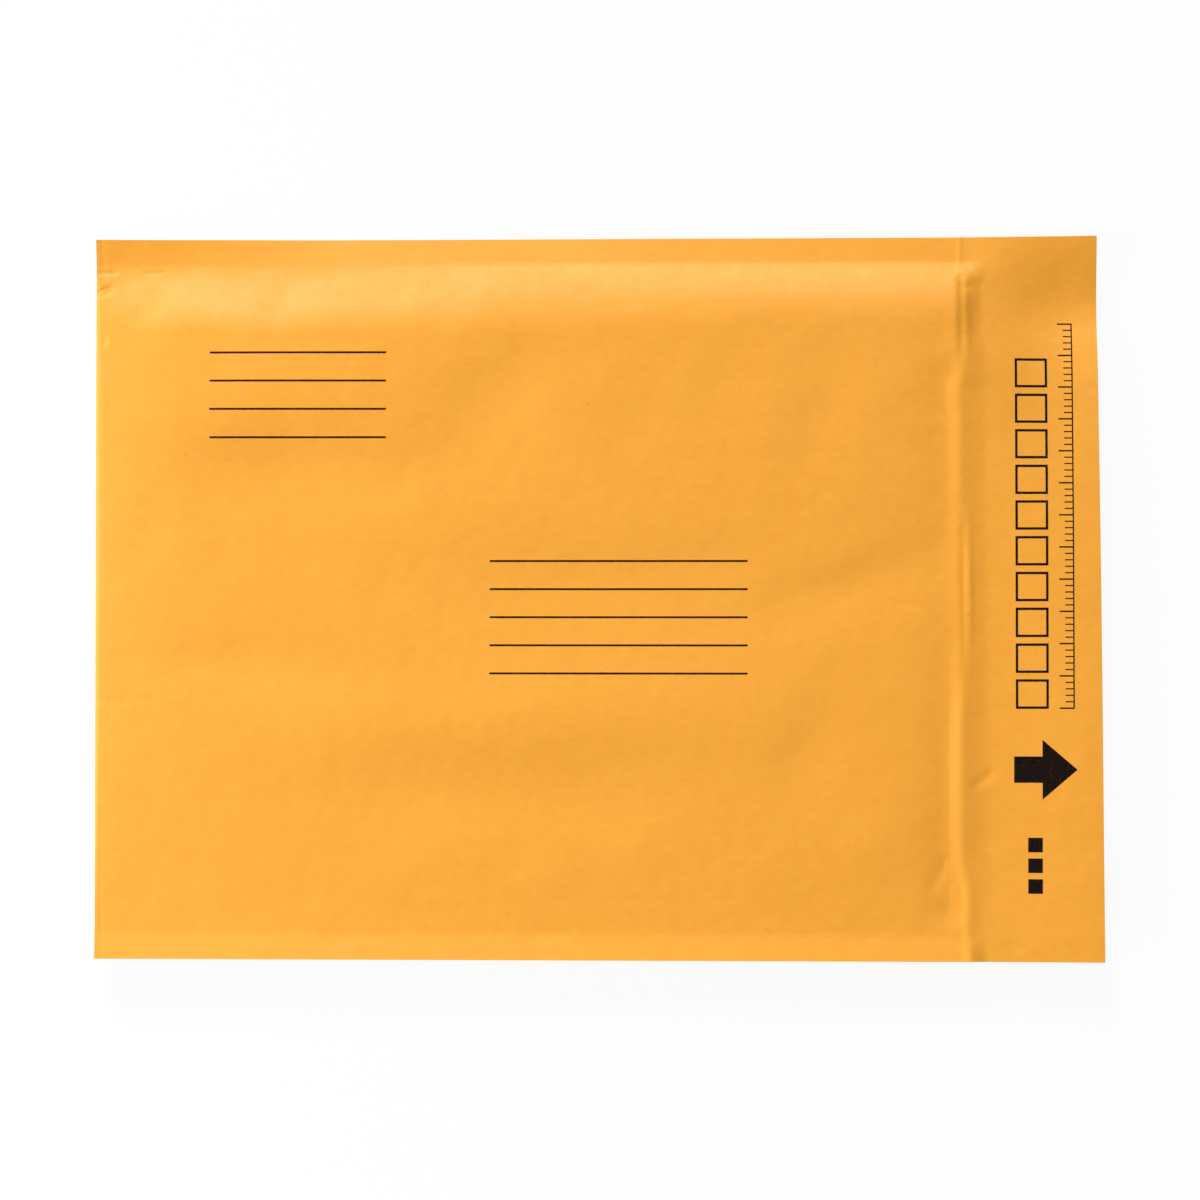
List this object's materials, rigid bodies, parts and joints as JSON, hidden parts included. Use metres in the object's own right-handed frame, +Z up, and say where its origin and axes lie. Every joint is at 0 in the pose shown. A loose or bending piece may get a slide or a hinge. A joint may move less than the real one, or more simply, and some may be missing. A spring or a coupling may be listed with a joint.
{
  "type": "padded envelope",
  "caption": "Kraft paper mailing envelope lined with bubble film, folded at one end, bonded along both sides, with an open self-seal flap.",
  "frame": {"origin": "on the table under the middle of the whole envelope, flap included", "axes": "+X from the bottom fold towards the flap, +Y across the envelope, +Z up out of the address side"},
  "size_m": [0.3234, 0.2326, 0.0131],
  "materials": {
    "kraft_paper": "matt",
    "bubble_film": "gloss",
    "hot_melt_adhesive": "satin",
    "siliconised_paper": "satin"
  },
  "bodies": {
    "root": {"kraft_wrapper": "kraft_paper", "bubble_lining": "bubble_film", "adhesive_strip": "hot_melt_adhesive", "release_liner": "siliconised_paper"}
  },
  "joints": []
}
